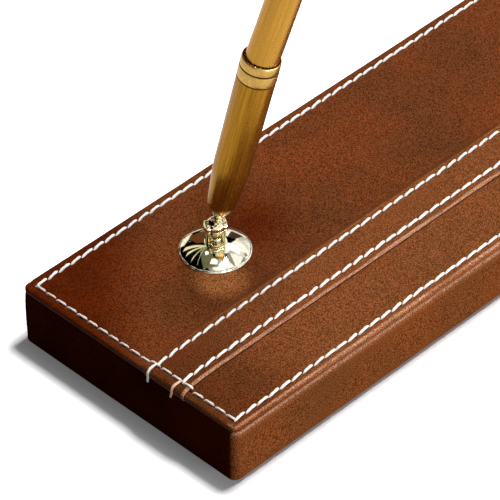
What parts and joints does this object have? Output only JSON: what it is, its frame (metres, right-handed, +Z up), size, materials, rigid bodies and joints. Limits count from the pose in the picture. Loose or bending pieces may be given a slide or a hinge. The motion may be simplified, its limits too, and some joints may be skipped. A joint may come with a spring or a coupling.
{
  "type": "pen stand",
  "caption": "Long leather-covered desk board with a lapped, double-stitched seam and a gilt swivel funnel that holds a ball pen at an angle.",
  "frame": {"origin": "middle of the felt's resting face, below the middle of the board", "axes": "+X along the board away from the pen holder's end, +Y from the edge with the lapped seam to the opposite edge, +Z up"},
  "size_m": [0.254, 0.1016, 0.1894],
  "materials": {
    "board": "plain sawn board, hidden",
    "side_leather": "smooth, fine grain, semi-gloss",
    "front_leather": "smooth, fine grain, semi-gloss",
    "rear_leather": "smooth, fine grain, semi-gloss",
    "felt": "pressed felt",
    "disc_gilt": "mirror polished",
    "swivel_gilt": "polished",
    "hardware_steel": "zinc plated",
    "funnel_gilt": "polished, faint drawing lines",
    "ring_gilt": "polished",
    "seat_plastic": "moulded",
    "pen_gilt": "polished",
    "refill_metal": "plain"
  },
  "bodies": {
    "base": {"core_board": "board", "side_leather_band": "side_leather", "front_top_leather": "front_leather", "rear_top_leather": "rear_leather", "felt_pad": "felt", "base_disc": "disc_gilt", "swivel_stud": "swivel_gilt", "flat_washer": "hardware_steel", "lock_washer": "hardware_steel", "stud_nut": "hardware_steel"},
    "swivel": {"swivel_yoke": "swivel_gilt", "wave_washer": "hardware_steel"},
    "funnel": {"ball_stem": "swivel_gilt", "stem_nut": "hardware_steel", "funnel_tube": "funnel_gilt", "mouth_ring": "ring_gilt", "tip_seat": "seat_plastic"},
    "pen": {"pen_nose": "pen_gilt", "pen_barrel": "pen_gilt", "pen_end_cap": "pen_gilt", "refill_tube": "refill_metal", "refill_point": "refill_metal"}
  },
  "joints": [
    {"name": "yoke_turn", "type": "hinge", "parent": "base", "child": "swivel", "pos_m": [-0.0679, 0.0168, 0.0359], "axis": [0, 0, 1], "continuous": true},
    {"name": "funnel_tilt", "type": "hinge", "parent": "swivel", "child": "funnel", "pos_m": [-0.0679, 0.0168, 0.0359], "axis": [0.7133, 0.7009, 0], "range_deg": [-36.1, 11.9]},
    {"name": "pen_slide", "type": "slide", "parent": "funnel", "child": "pen", "axis": [0.1907, -0.1941, 0.9623], "range_m": [0, 0.06]}
  ]
}
